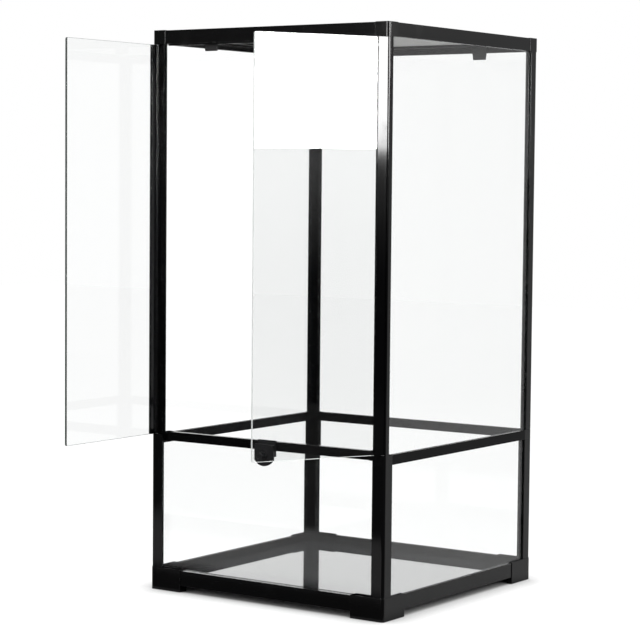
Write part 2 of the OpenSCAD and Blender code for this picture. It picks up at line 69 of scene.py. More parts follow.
def aim(heading, tilt, roll):
    """A camera's turn, in degrees. With all three at 0 it is level and looks along +Y."""
    headed = Matrix.Rotation(radians(heading), 4, "Z")
    tilted = Matrix.Rotation(radians(90 + tilt), 4, "X")
    rolled = Matrix.Rotation(radians(roll), 4, "Z")
    return headed @ tilted @ rolled


camera = bpy.data.objects.new("camera", bpy.data.cameras.new("camera"))
camera.data.lens = LENS
camera.data.sensor_width = SENSOR_WIDTH
camera.data.clip_start = NEAREST_SEEN
turn = aim(CAMERA_HEADING, CAMERA_TILT, CAMERA_ROLL)
camera.matrix_world = Matrix.Translation(CAMERA_PLACE) @ turn
bpy.context.scene.collection.objects.link(camera)
bpy.context.scene.camera = camera
bpy.context.scene.view_settings.view_transform = "Standard"
print("camera at", CAMERA_PLACE, "with a lens of", LENS, "mm")


# %% [markdown]
# ## Shader groups
# Several finishes share the same small effects, so each effect is one node group
# with named inputs: the fine lines that a die leaves along a profile, the faint
# smudges of handling, and the dulled, paler look of a rubbed edge. A group only
# puts out masks and values, and the shader itself stays in the material. A few
# helpers come first, because every tree in this script is built from them.

# %% Helpers that make nodes
def set_inputs(tree, node, inputs):
    """Links each input to the socket that is given for it, or sets it to the value."""
    for name, value in inputs.items():
        socket = node.inputs[name]
        if isinstance(value, bpy.types.NodeSocket):
            tree.links.new(value, socket)
        else:
            socket.default_value = value


def make(tree, kind, inputs=None, **settings):
    node = tree.nodes.new(kind)
    for name, value in settings.items():
        setattr(node, name, value)
    set_inputs(tree, node, inputs or {})
    return node


def maths(tree, operation, *values, clamp=False):
    inputs = dict(enumerate(values))
    node = make(tree, "ShaderNodeMath", inputs, operation=operation, use_clamp=clamp)
    return node.outputs[0]


# %% Helpers for noise, ranges and places
def noise(tree, place, scale, detail, **more):
    inputs = {"Vector": place, "Scale": scale, "Detail": detail, **more}
    return make(tree, "ShaderNodeTexNoise", inputs).outputs["Fac"]


def ramp(tree, value, start, end, low=0.0, high=1.0, blend="LINEAR"):
    """Goes from low to high while the value goes from start to end."""
    inputs = {"Value": value, "From Min": start, "From Max": end, "To Min": low, "To Max": high}
    return make(tree, "ShaderNodeMapRange", inputs, interpolation_type=blend).outputs["Result"]


def place_on_piece(tree):
    return make(tree, "ShaderNodeTexCoord").outputs["Object"]


# %% A helper that starts a node group
NUMBER, VECTOR = "NodeSocketFloat", "NodeSocketVector"


def new_group(name, kind, inputs, outputs):
    """An empty group, the sockets of its inputs, and the node that takes its results."""
    tree = bpy.data.node_groups.new(name, kind)
    for label, socket_type, value in inputs:
        socket = tree.interface.new_socket(label, in_out="INPUT", socket_type=socket_type)
        if value is not None:
            socket.default_value = value
    for label, socket_type in outputs:
        tree.interface.new_socket(label, in_out="OUTPUT", socket_type=socket_type)
    given, result = tree.nodes.new("NodeGroupInput"), tree.nodes.new("NodeGroupOutput")
    return tree, given.outputs, result


# %% Die lines: long, fine streaks along a profile
CLOUD_SCALE = 14.0


def build_die_lines():
    """Streaks of noise, under a soft cloud that makes some stretches duller than others."""
    tree, given, result = new_group(
        "die_lines",
        "ShaderNodeTree",
        [("Stretch", VECTOR, (300, 300, 3)), ("Roughness", NUMBER, 0.15), ("Spread", NUMBER, 0.1)],
        [("Roughness", NUMBER), ("Height", NUMBER)],
    )
    place = place_on_piece(tree)
    stretched = make(tree, "ShaderNodeMapping", {"Vector": place, "Scale": given["Stretch"]})
    streaks = noise(tree, stretched.outputs["Vector"], scale=1.0, detail=3.0, Roughness=0.6)
    cloud = noise(tree, place, CLOUD_SCALE, detail=2.0)
    around_zero = maths(tree, "ADD", maths(tree, "ADD", streaks, cloud), -1.0)
    rough = maths(tree, "MULTIPLY_ADD", around_zero, given["Spread"], given["Roughness"])
    set_inputs(tree, result, {"Roughness": rough, "Height": streaks})
    return tree


# %% Smudges: soft patches broken up by a finer grain
SMUDGE_GRAIN, SMUDGE_BORDER = 160.0, 0.25


def build_smudges():
    tree, given, result = new_group(
        "smudges",
        "ShaderNodeTree",
        [("Scale", NUMBER, 6.0), ("Coverage", NUMBER, 0.4)],
        [("Mask", NUMBER)],
    )
    place = place_on_piece(tree)
    broad = noise(tree, place, given["Scale"], detail=4.0, Distortion=0.6)
    fine = noise(tree, place, SMUDGE_GRAIN, detail=2.0)
    edge = maths(tree, "SUBTRACT", 1.0, given["Coverage"])
    patch = ramp(tree, broad, edge, maths(tree, "ADD", edge, SMUDGE_BORDER))
    set_inputs(tree, result, {"Mask": maths(tree, "MULTIPLY", patch, fine)})
    return tree


# %% Rubbed edge: patches for the thin bevel faces
UNRUBBED_BELOW, RUBBED_ABOVE = 0.45, 0.75


def build_rubbed():
    tree, given, result = new_group(
        "rubbed",
        "ShaderNodeTree",
        [("Scale", NUMBER, 90.0), ("Amount", NUMBER, 0.5)],
        [("Mask", NUMBER)],
    )
    grain = noise(tree, place_on_piece(tree), given["Scale"], detail=5.0, Roughness=0.7)
    patch = ramp(tree, grain, UNRUBBED_BELOW, RUBBED_ABOVE)
    set_inputs(tree, result, {"Mask": maths(tree, "MULTIPLY", patch, given["Amount"])})
    return tree


# %% Make the three groups
DIE_LINES, SMUDGES, RUBBED = build_die_lines(), build_smudges(), build_rubbed()


def effect(tree, group, **inputs):
    return make(tree, "ShaderNodeGroup", inputs, node_tree=group).outputs


print("shader groups:", DIE_LINES.name, SMUDGES.name, RUBBED.name)


# %% [markdown]
# ## Black plastics
# The profiles are extruded, so they are glossy with fine lines along their
# length, and each direction of run needs its own stretch. A picture of such lines
# would blur close up and repeat from afar, and stretched noise does neither. The
# corner pieces are moulded and have a plain gloss. Edges carry a second material,
# rubbed a little paler, which the bevel modifier gives to the faces that it makes.

# %% Helpers for materials
# Where a Mix node keeps its two inputs and its output, for each kind of data
MIX_SOCKETS = {"FLOAT": (2, 3, 0), "RGBA": (6, 7, 2)}


def mix(tree, kind, factor, first, second):
    low, high, result = MIX_SOCKETS[kind]
    inputs = {"Factor": factor, low: first, high: second}
    return make(tree, "ShaderNodeMix", inputs, data_type=kind).outputs[result]


def two_tone(tree, mask, first, second):
    return mix(tree, "RGBA", mask, (*first, 1), (*second, 1))


def start_material(name):
    material = bpy.data.materials.new(name)
    material.use_nodes = True
    tree = material.node_tree
    return material, tree, tree.nodes["Principled BSDF"]


def lined_bump(tree, lines, strength, relief):
    """Die lines as relief, whose full depth is in metres."""
    inputs = {"Height": lines["Height"], "Strength": strength, "Distance": relief}
    return make(tree, "ShaderNodeBump", inputs).outputs["Normal"]


# %% Plastic, and its rubbed edges
GREASE_GAIN, GREASE_LIFT = 1.6, 0.002
EDGE_ROUGHNESS, EDGE_DULLING = 0.16, 0.35


def plastic(name, colour, rough, spread, stretch, relief, dull=0.25, gloss=0.32):
    """Plastic with die lines. Smudges make it a little paler and duller."""
    material, tree, shader = start_material(name)
    lines = effect(tree, DIE_LINES, Stretch=stretch, Roughness=rough, Spread=spread)
    smudge = effect(tree, SMUDGES, Scale=9.0, Coverage=0.42)["Mask"]
    paler = tuple(min(1.0, channel * GREASE_GAIN + GREASE_LIFT) for channel in colour)
    finish = {
        "Base Color": two_tone(tree, smudge, colour, paler),
        "Roughness": maths(tree, "MULTIPLY_ADD", smudge, dull, lines["Roughness"]),
        "Normal": lined_bump(tree, lines, strength=0.25, relief=relief),
        "Specular IOR Level": gloss,
    }
    set_inputs(tree, shader, finish)
    return material


def rubbed_plastic(name, colour, worn, amount, gloss=0.4):
    """Smooth plastic, with the worn colour and a duller look where it is rubbed."""
    material, tree, shader = start_material(name)
    rubbed = effect(tree, RUBBED, Scale=110.0, Amount=amount)["Mask"]
    finish = {
        "Base Color": two_tone(tree, rubbed, colour, worn),
        "Roughness": maths(tree, "MULTIPLY_ADD", rubbed, EDGE_DULLING, EDGE_ROUGHNESS),
        "Specular IOR Level": gloss,
    }
    set_inputs(tree, shader, finish)
    return material


# %% Plastic finishes
BLACK, WORN_BLACK = (0.0015, 0.0015, 0.0017), (0.02, 0.02, 0.021)
# Waves of noise in a metre, along the die lines and across them
ALONG, ACROSS = 2.5, 420
ALONG_X = (ALONG, ACROSS, ACROSS)
ALONG_Y = (ACROSS, ALONG, ACROSS)
ALONG_Z = (ACROSS, ACROSS, ALONG)


def even(scale):
    """The grain of a moulded or painted piece, the same in every direction."""
    return (scale, scale, scale)


profile = {
    "x": plastic("profile_along_x", BLACK, rough=0.13, spread=0.06, stretch=ALONG_X, relief=3e-5),
    "y": plastic("profile_along_y", BLACK, rough=0.13, spread=0.06, stretch=ALONG_Y, relief=3e-5),
    "z": plastic("profile_upright", BLACK, rough=0.07, spread=0.04, stretch=ALONG_Z, relief=2e-5),
}
mid_profile = {
    "x": plastic(
        "mid_profile_along_x", BLACK, rough=0.2, spread=0.06, stretch=ALONG_X, relief=3e-5,
        gloss=0.1,
    ),
    "y": plastic(
        "mid_profile_along_y", BLACK, rough=0.2, spread=0.06, stretch=ALONG_Y, relief=3e-5,
        gloss=0.08,
    ),
}
moulded = plastic("moulded_corner", BLACK, rough=0.15, spread=0.08, stretch=even(60), relief=3e-5)
polished = plastic(
    "polished_lip", BLACK, rough=0.05, spread=0.03, stretch=even(60), relief=1e-5, dull=0.1,
    gloss=1.0,
)
matt = plastic("matt_lip", BLACK, rough=0.5, spread=0.1, stretch=even(200), relief=3e-5, gloss=0.0)
satin = plastic(
    "satin_lid", (0.006, 0.006, 0.0065), rough=0.38, spread=0.12, stretch=even(900), relief=5e-5
)
edge_black = rubbed_plastic("rubbed_edge", BLACK, WORN_BLACK, amount=0.6)
strip_edge = rubbed_plastic("rubbed_strip_edge", BLACK, WORN_BLACK, amount=0.3, gloss=1.0)
print("plastics:", len(profile) + len(mid_profile), "for profiles and 6 others")


# %% [markdown]
# ## Paint, steel and bushes
# The lock's housing and plug are painted black, and a painted casting has a fine
# orange-peel surface, which a small even noise in the bump gives. The bolt and
# the hinge pins are bare steel, drawn along their length. The bushes in which
# the pins turn are grey plastic. The groups above serve here too: die lines with
# the same stretch in every direction are the grain of paint.

# %% Lock and hinge finishes
SMUDGED_METAL = 0.7
DRAWN_UPRIGHT = (900, 900, 40)


def metal(name, colour, rough, spread, stretch, relief, metallic=1.0):
    """Metal with die lines, darker where it is smudged. With metallic at 0 it is paint."""
    material, tree, shader = start_material(name)
    lines = effect(tree, DIE_LINES, Stretch=stretch, Roughness=rough, Spread=spread)
    smudge = effect(tree, SMUDGES, Scale=30.0, Coverage=0.5)["Mask"]
    darker = tuple(channel * SMUDGED_METAL for channel in colour)
    finish = {
        "Base Color": two_tone(tree, smudge, colour, darker),
        "Roughness": lines["Roughness"],
        "Normal": lined_bump(tree, lines, strength=0.3, relief=relief),
        "Metallic": metallic,
    }
    set_inputs(tree, shader, finish)
    return material


lock_paint = plastic(
    "lock_paint", (0.005, 0.005, 0.006), rough=0.3, spread=0.1, stretch=even(700), relief=4e-5
)
plug_paint = metal(
    "plug_paint", (0.012, 0.012, 0.013), rough=0.22, spread=0.08, stretch=even(500), relief=2e-5,
    metallic=0.0,
)
steel = metal(
    "bright_steel", (0.5, 0.5, 0.52), rough=0.28, spread=0.12, stretch=DRAWN_UPRIGHT, relief=2e-5
)
bush_plastic = plastic(
    "bush_plastic", (0.22, 0.22, 0.23), rough=0.45, spread=0.1, stretch=even(400), relief=2e-5
)
print("lock and hinge finishes:", lock_paint.name, plug_paint.name, steel.name, bush_plastic.name)


# %% [markdown]
# ## Glass
# Float glass is clear seen through its face and green at its edge, where light
# has run a long way inside it. So a sheet has two materials: a refracting one on
# its faces and a frosted one on its cut edges. The doors are tinted a little. The
# cut edges of the doors carry painted light and shade: the left door's edge is
# painted dark and the right door's is painted white. The floor panel is dark and
# coated, and mirrors what stands on it. Cycles casts a hard shadow from
# refracting glass, so rays from lamps go straight through it.

# %% Clear glass
GLASS_IOR = 1.5
LAMPLIGHT_TINT = (0.95, 0.96, 0.955, 1)


def either(tree, flag, no, yes):
    """One shader where the flag is 0 and the other where it is 1."""
    return make(tree, "ShaderNodeMixShader", {0: flag, 1: no, 2: yes}).outputs[0]


def set_surface(tree, shader):
    tree.links.new(shader, tree.nodes["Material Output"].inputs["Surface"])


def clear_glass(name, tint, smears):
    material, tree, shader = start_material(name)
    smudge = effect(tree, SMUDGES, Scale=5.0, Coverage=0.38)["Mask"]
    finish = {
        "Base Color": (*tint, 1),
        "Transmission Weight": 1.0,
        "IOR": GLASS_IOR,
        "Roughness": maths(tree, "MULTIPLY", smudge, smears),
    }
    set_inputs(tree, shader, finish)
    straight_through = make(tree, "ShaderNodeBsdfTransparent", {"Color": LAMPLIGHT_TINT})
    to_a_lamp = make(tree, "ShaderNodeLightPath").outputs["Is Shadow Ray"]
    set_surface(tree, either(tree, to_a_lamp, shader.outputs[0], straight_through.outputs[0]))
    return material


# %% Cut edges, and the dark floor panel
def cut_edge(name, colour, worn, clear):
    """A frosted edge that lets in as much light as it is clear, from 0 to 1."""
    material, tree, shader = start_material(name)
    smudge = effect(tree, SMUDGES, Scale=60.0, Coverage=0.5)["Mask"]
    finish = {
        "Base Color": two_tone(tree, smudge, colour, worn),
        "Roughness": 0.25,
        "Transmission Weight": clear,
    }
    set_inputs(tree, shader, finish)
    return material


DARK, SMUDGED_DARK = (0.03, 0.031, 0.033), (0.045, 0.046, 0.048)
DARK_IOR, DARK_ROUGHNESS, DARK_DULLING = 1.85, 0.02, 0.05


def dark_glass(name):
    material, tree, shader = start_material(name)
    smudge = effect(tree, SMUDGES, Scale=7.0, Coverage=0.4)["Mask"]
    finish = {
        "Base Color": two_tone(tree, smudge, DARK, SMUDGED_DARK),
        "Roughness": maths(tree, "MULTIPLY_ADD", smudge, DARK_DULLING, DARK_ROUGHNESS),
        "IOR": DARK_IOR,
        "Coat Weight": 1.0,
    }
    set_inputs(tree, shader, finish)
    return material


# %% Glass finishes
pane_glass = clear_glass("pane_glass", tint=(0.985, 0.99, 0.988), smears=0.02)
door_glass = clear_glass("door_glass", tint=(0.905, 0.912, 0.91), smears=0.02)
glass_edge = cut_edge("cut_glass_edge", (0.88, 0.95, 0.92), (0.9, 0.96, 0.94), clear=0.6)
# Painted shade and painted light: the left door's edge is painted dark and the right door's edge
# is painted white
painted_door_edges = {
    "left": cut_edge("painted_dark_door_edge", (0.26, 0.3, 0.29), (0.34, 0.38, 0.36), clear=0.75),
    "right": cut_edge("painted_white_door_edge", (0.96, 0.98, 0.97), (0.98, 0.99, 0.98), clear=0.25),
}
floor_glass = dark_glass("dark_floor_glass")
print("glass:", pane_glass.name, door_glass.name, floor_glass.name, "and 3 cut edges")


# %% [markdown]
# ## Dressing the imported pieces
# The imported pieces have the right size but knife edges, and nothing real does:
# a rounded edge is what catches a line of light. Each solid is copied, its loose
# triangles are merged into whole faces, and its sharp edges are bevelled. A face
# with a hole in it can't be one polygon, so it is first cut in two across the
# hole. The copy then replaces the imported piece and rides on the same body. The
# pieces could be modelled anew, but a copy can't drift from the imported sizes.

# %% Finding flat faces and the holes in them
FLAT = radians(0.5)


def flat_region(start):
    """All the faces that lie flat against the given one."""
    region, waiting = {start}, [start]
    while waiting:
        for edge in waiting.pop().edges:
            if edge.calc_face_angle(pi) < FLAT:
                for face in edge.link_faces:
                    if face not in region:
                        region.add(face)
                        waiting.append(face)
    return region


def rims(region):
    """The closed outlines of a flat region, as sets of points: the outer one and each hole's."""
    outline = [
        edge for face in region for edge in face.edges
        if sum(near in region for near in edge.link_faces) == 1
    ]
    found = []
    for edge in outline:
        touching = [rim for rim in found if rim & set(edge.verts)]
        joined = set(edge.verts).union(*touching)
        found = [rim for rim in found if rim not in touching] + [joined]
    return found


def middle_and_size(rim):
    places = [point.co for point in rim]
    low = Vector([min(place[axis] for place in places) for axis in range(3)])
    high = Vector([max(place[axis] for place in places) for axis in range(3)])
    return (low + high) / 2, high - low


# %% Cutting faces across their holes
SAME_WAY, SAME_LEVEL, TOUCHING = 0.999, 0.00001, 0.000001


def longest_way(normal, size):
    """The axis along which a flat face is longest."""
    in_plane = [axis for axis in range(3) if abs(normal[axis]) < 0.5]
    longest = max(in_plane, key=lambda axis: size[axis])
    return Vector([1.0 if axis == longest else 0.0 for axis in range(3)])


def holes(work):
    """Each hole's middle, the way across which its face is cut, and the face's normal."""
    found, seen = [], set()
    for face in work.faces:
        if face in seen:
            continue
        region = flat_region(face)
        seen |= region
        outlines = sorted(map(middle_and_size, rims(region)), key=lambda rim: -rim[1].length)
        for middle, _ in outlines[1:]:
            whole_size = outlines[0][1]
            found.append((middle, longest_way(face.normal, whole_size), face.normal.copy()))
    return found


def level_faces(work, middle, normal):
    """The faces that lie in the plane through the middle."""
    alike = [face for face in work.faces if face.normal.dot(normal) > SAME_WAY]
    return [
        face for face in alike
        if abs((face.calc_center_median() - middle).dot(normal)) < SAME_LEVEL
    ]


def cut_across_holes(work):
    for middle, across, normal in holes(work):
        level = level_faces(work, middle, normal)
        edges = {edge for face in level for edge in face.edges}
        points = {point for face in level for point in face.verts}
        result = bmesh.ops.bisect_plane(
            work, geom=[*level, *edges, *points], dist=TOUCHING, plane_co=middle, plane_no=across
        )
        for part in result["geom_cut"]:
            if isinstance(part, bmesh.types.BMEdge):
                part.seam = True


# %% Merging triangles into whole faces
SAME_POINT = 0.000002


def whole_mesh(node, name):
    """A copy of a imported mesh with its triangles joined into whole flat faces."""
    work = bmesh.new()
    work.from_mesh(frame["nodes"][node].data)
    bmesh.ops.remove_doubles(work, verts=work.verts, dist=SAME_POINT)
    cut_across_holes(work)
    bmesh.ops.dissolve_limit(
        work,
        angle_limit=FLAT,
        use_dissolve_boundaries=False,
        verts=work.verts,
        edges=work.edges,
        delimit={"SEAM"},
    )
    mesh = bpy.data.meshes.new(name)
    work.to_mesh(mesh)
    work.free()
    return mesh


# %% Helpers for pieces
# The places of the finishes in a piece's list of materials
MAIN, EDGE, LEDGE = 0, 1, 2


def new_piece(name, mesh, finishes=()):
    for finish in finishes:
        mesh.materials.append(finish)
    piece = bpy.data.objects.new(name, mesh)
    bpy.context.scene.collection.objects.link(piece)
    return piece


def as_plain_mesh(piece):
    """Turns the piece's modifiers into plain mesh."""
    evaluated = piece.evaluated_get(bpy.context.evaluated_depsgraph_get())
    mesh = bpy.data.meshes.new_from_object(evaluated)
    piece.modifiers.clear()
    piece.data = mesh
    return mesh


def bevel_edges(piece, width, segments, sharper_than, corner="MITER_SHARP"):
    """Rounds the sharp edges. The faces that this makes take the edge's finish."""
    bevel = piece.modifiers.new("rounded edges", "BEVEL")
    bevel.width = width
    bevel.segments = segments
    bevel.limit_method = "ANGLE"
    bevel.angle_limit = radians(sharper_than)
    bevel.miter_outer = corner
    bevel.material = EDGE


def smooth_by_angle(mesh, degrees):
    mesh.shade_smooth()
    mesh.set_sharp_from_angle(angle=radians(degrees))


# %% Putting a piece in a node's place
def body_of(node):
    for body, nodes in frame["record"]["behaviour"]["bodies"].items():
        if node in nodes:
            return body
    return None


def put_in_place(piece, node):
    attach(piece, body_of(node))
    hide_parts(node)


# %% Dressing a solid
FACING_UP = 0.9


def dress(node, main, edge, width=0.00035, segments=2, ledge=None):
    """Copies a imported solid, bevels its edges and puts the copy in its place."""
    mesh = whole_mesh(node, node + "_dressed")
    piece = new_piece(node + "_dressed", mesh, (main, edge, ledge or main))
    for polygon in mesh.polygons:
        polygon.material_index = LEDGE if polygon.normal.z > FACING_UP else MAIN
    bevel_edges(piece, width, segments, sharper_than=35, corner="MITER_ARC")
    smooth_by_angle(as_plain_mesh(piece), degrees=32)
    even_light = piece.modifiers.new("flat faces stay flat", "WEIGHTED_NORMAL")
    even_light.keep_sharp = True
    as_plain_mesh(piece)
    put_in_place(piece, node)


# %% [markdown]
# ## The frame of the cabinet
# Every profile takes the finish of its own direction, so that its lines run
# along it. The corner pieces, feet and mid joints are moulded. What faces up on
# a base or mid rail is polished, and what faces up on a moulded piece is matt.

# %% Dress the frame
SIDE_RUN = {"front": "x", "back": "x", "left": "y", "right": "y"}
CORNERS = ["front_left", "front_right", "back_left", "back_right"]

for side, run in SIDE_RUN.items():
    dress(f"base_rail_{side}", profile[run], edge_black, ledge=polished)
    dress(f"mid_rail_{side}", mid_profile[run], edge_black, ledge=polished)
    dress(f"top_rail_{side}", profile[run], edge_black)
for corner in CORNERS:
    dress(f"lower_post_{corner}", profile["z"], edge_black, width=0.0003)
    dress(f"upper_post_{corner}", profile["z"], edge_black, width=0.0007, segments=3)
    for joint in ("foot", "mid_joint", "top_corner"):
        dress(f"{joint}_{corner}", moulded, edge_black, width=0.0005, ledge=matt)
for side in ("left", "right"):
    dress(f"{side}_hinge_strip", profile["z"], strip_edge, width=0.0009, segments=4)
    dress(f"{side}_hinge_pins", steel, steel, width=0.0002)
dress("hinge_bushes", bush_plastic, bush_plastic, width=0.0001)
print("frame pieces dressed")


# %% [markdown]
# ## The lock, the lid and the latches
# The lock is a small casting with a plug for the key, and lifts a steel bolt in
# front of the doors. The lid's frame and its four latches are a satin plastic, a
# little greyer than the profiles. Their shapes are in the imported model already,
# so they only need the finish and a roundness that suits their size.

# %% Dress the lock, the lid and the latches
dress("lock_housing", lock_paint, edge_black, width=0.0006, segments=3)
dress("lock_plug", plug_paint, edge_black, width=0.0002)
dress("lock_bolt", steel, steel, width=0.0003)
dress("lid_frame", satin, edge_black, width=0.0005)
for corner in CORNERS:
    dress(f"latch_{corner}", satin, edge_black, width=0.0006)
print("lock, lid and latches dressed")


# %% [markdown]
# ## The sheets of glass
# A sheet's big faces and its cut edges are told apart by their area, which works
# for a sheet that stands in any direction: its two faces are far larger than its
# edges. The sharp corner between them is ground off on real glass, and here it is
# a narrow flat bevel that takes the edge's material.

# %% Dress the glass
def glaze(node, face, edge):
    """Copies an imported sheet, takes off its sharp edges and puts the copy in its place."""
    mesh = whole_mesh(node, node + "_sheet")
    piece = new_piece(node + "_sheet", mesh, (face, edge))
    largest = max(polygon.area for polygon in mesh.polygons)
    for polygon in mesh.polygons:
        polygon.material_index = MAIN if polygon.area > 0.5 * largest else EDGE
    bevel_edges(piece, width=0.0004, segments=1, sharper_than=40)
    smooth_by_angle(as_plain_mesh(piece), degrees=25)
    put_in_place(piece, node)


for side in ("front", "back", "left", "right"):
    glaze(f"lower_pane_{side}", pane_glass, glass_edge)
for side in ("back", "left", "right"):
    glaze(f"upper_pane_{side}", pane_glass, glass_edge)
for side in ("left", "right"):
    glaze(f"{side}_door_glass", door_glass, painted_door_edges[side])
glaze("floor_panel", floor_glass, glass_edge)
print("glass dressed")


# %% [markdown]
# ## The screen in the lid
# The screen is woven from thin wire. Two flat layers of straight wires would do
# from afar, but close up a weave is what the eye looks for. A Geometry Nodes
# tree repeats one wire across the lid, makes the copies real, and then bends
# them into zigzags, every other one shifted by half a wave, so that over and
# under alternate. It ends by giving the wires their material.

# %% Wire material
WIRE_GREY, SMUDGED_WIRE = (0.66, 0.66, 0.65), (0.5, 0.5, 0.5)


def wire_metal(name):
    material, tree, shader = start_material(name)
    smudge = effect(tree, SMUDGES, Scale=40.0, Coverage=0.5)["Mask"]
    finish = {
        "Base Color": two_tone(tree, smudge, WIRE_GREY, SMUDGED_WIRE),
        "Metallic": 0.7,
        "Roughness": 0.5,
    }
    set_inputs(tree, shader, finish)
    return material


wire_steel = wire_metal("stainless_wire")
print("wire:", wire_steel.name)


# %% The weave's tree
def flat_wires(tree, given, points, start):
    """Straight wires side by side, as lines of points a pitch apart."""
    begin = make(tree, "ShaderNodeCombineXYZ", {"X": start, "Y": start, "Z": given["Height"]})
    across = make(tree, "ShaderNodeCombineXYZ", {"Y": given["Pitch"]})
    along = make(tree, "ShaderNodeCombineXYZ", {"X": given["Pitch"]})
    places = {"Count": points, "Start Location": begin.outputs[0], "Offset": across.outputs[0]}
    row = make(tree, "GeometryNodeMeshLine", places, mode="OFFSET")
    steps = {"Count": points, "Offset": along.outputs[0]}
    wire = make(tree, "GeometryNodeMeshLine", steps, mode="OFFSET")
    repeated = {"Points": row.outputs[0], "Instance": wire.outputs[0]}
    placed = make(tree, "GeometryNodeInstanceOnPoints", repeated)
    return make(tree, "GeometryNodeRealizeInstances", {0: placed.outputs[0]}).outputs[0]


def over_or_under(tree, given, points):
    """1 and -1 in turn, along each wire and from wire to wire."""
    index = make(tree, "GeometryNodeInputIndex").outputs[0]
    row = maths(tree, "FLOOR", maths(tree, "DIVIDE", maths(tree, "ADD", index, 0.5), points))
    column = maths(tree, "SUBTRACT", index, maths(tree, "MULTIPLY", row, points))
    crossing = maths(tree, "ADD", maths(tree, "ADD", row, column), given["Phase"])
    parity = maths(tree, "ROUND", maths(tree, "MODULO", crossing, 2.0))
    return maths(tree, "SUBTRACT", maths(tree, "MULTIPLY", parity, 2.0), 1.0)


def weave_tree():
    sizes = [
        ("Length", NUMBER, 0.387),
        ("Pitch", NUMBER, 0.0025),
        ("Wave", NUMBER, 0.00022),
        ("Wire Radius", NUMBER, 0.00018),
        ("Height", NUMBER, 0.0),
        ("Phase", NUMBER, 0.0),
        ("Finish", "NodeSocketMaterial", None),
    ]
    outputs = [("Geometry", "NodeSocketGeometry")]
    tree, given, result = new_group("woven_wires", "GeometryNodeTree", sizes, outputs)
    count = maths(tree, "FLOOR", maths(tree, "DIVIDE", given["Length"], given["Pitch"]))
    points = maths(tree, "ADD", count, 1.0)
    start = maths(tree, "MULTIPLY", maths(tree, "MULTIPLY", count, given["Pitch"]), -0.5)
    wires = flat_wires(tree, given, points, start)

    rise = maths(tree, "MULTIPLY", over_or_under(tree, given, points), given["Wave"])
    lift = make(tree, "ShaderNodeCombineXYZ", {"Z": rise}).outputs[0]
    waved = make(tree, "GeometryNodeSetPosition", {"Geometry": wires, "Offset": lift})

    curve = make(tree, "GeometryNodeMeshToCurve", {"Mesh": waved.outputs[0]}).outputs[0]
    section = {"Resolution": 4, "Radius": given["Wire Radius"]}
    ring = make(tree, "GeometryNodeCurvePrimitiveCircle", section).outputs[0]
    drawn = {"Curve": curve, "Profile Curve": ring, "Fill Caps": True}
    tube = make(tree, "GeometryNodeCurveToMesh", drawn).outputs[0]
    finished = {"Geometry": tube, "Material": given["Finish"]}
    finish = make(tree, "GeometryNodeSetMaterial", finished)
    set_inputs(tree, result, {"Geometry": finish.outputs[0]})
    return tree


WEAVE = weave_tree()
print("weave tree:", len(WEAVE.nodes), "nodes")


# %% Weave the screen
def weave(name, turned, phase, height, length):
    """One of the screen's two sets of wires."""
    piece = new_piece(name, bpy.data.meshes.new(name))
    modifier = piece.modifiers.new("weave", "NODES")
    modifier.node_group = WEAVE
    values = {"Length": length, "Height": height, "Phase": phase, "Finish": wire_steel}
    for item in WEAVE.interface.items_tree:
        if item.in_out == "INPUT" and item.name in values:
            modifier[item.identifier] = values[item.name]
    mesh = as_plain_mesh(piece)
    if turned:
        mesh.transform(Matrix.Rotation(pi / 2, 4, "Z"))
    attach(piece, "lid")
    print(name, len(mesh.polygons), "faces")
    return piece


WIRES_SHORTER_BY = 0.001
screen_low, screen_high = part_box("lid_screen")
screen_mid = (screen_low[2] + screen_high[2]) / 2
screen_length = screen_high[0] - screen_low[0] - WIRES_SHORTER_BY
warp = weave("screen_warp", turned=False, phase=0.0, height=screen_mid, length=screen_length)
weave("screen_weft", turned=True, phase=1.0, height=screen_mid, length=screen_length)
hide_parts("lid_screen")


# %% [markdown]
# ## Studio
# Product pictures of this kind are shot on white with the exposure pushed until
# the background is blank. Here the surroundings are white only to the camera and
# to what is seen through glass, and greyer to what mirrors them, while the lamps
# stay at a plain level. Black plastic shows little but what it mirrors, so sheets
# that glow stand around it that only a mirrored ray meets, and what they give is
# painted reflection. The white one at the back paints the side faces' sheen and
# the dim ones keep the front faces black.

# %% How white the surroundings are to each kind of ray
CAMERA_WHITE, MIRRORED_WHITE = 1.0, 0.45
THROUGH_GLASS_PAPER, THROUGH_GLASS_WORLD = 1.075, 1.15


def mirrored(tree):
    """1 for a ray that a gloss has thrown back, even if it went through glass after that."""
    path = make(tree, "ShaderNodeLightPath").outputs
    thrown_back = maths(tree, "GREATER_THAN", path["Glossy Depth"], 0.5)
    return maths(tree, "MULTIPLY", path["Is Glossy Ray"], thrown_back)


def how_white(tree, through_glass):
    """One value for a ray: the white that the camera, glass or a mirror sees."""
    path = make(tree, "ShaderNodeLightPath").outputs
    camera_part = maths(tree, "MULTIPLY", path["Is Camera Ray"], CAMERA_WHITE)
    glass_part = maths(tree, "MULTIPLY", path["Is Transmission Ray"], through_glass)
    direct = maths(tree, "MAXIMUM", camera_part, glass_part)
    return mix(tree, "FLOAT", mirrored(tree), direct, MIRRORED_WHITE)


# %% [markdown]
# ## The ground
# The ground is white paper that gets darker close under the cabinet, as in the
# soft shadow of a bright studio. Lamps can't darken paper that glows, so ambient
# occlusion finds out how open each place is. To what mirrors the ground, the
# paper is painted black before the front and along the right side: a painted
# dark reflection. One strip there is left pale, and its image is a painted grey
# veil in the lower front pane.

# %% Where the paper is dark, and where it is painted black to mirrors
SHADOW_REACH, SHADOW_SAMPLES = 0.06, 8
SHADOW_DARKEST, SHADOW_NONE, SHADOW_CURVE = 0.17, 0.97, 0.85
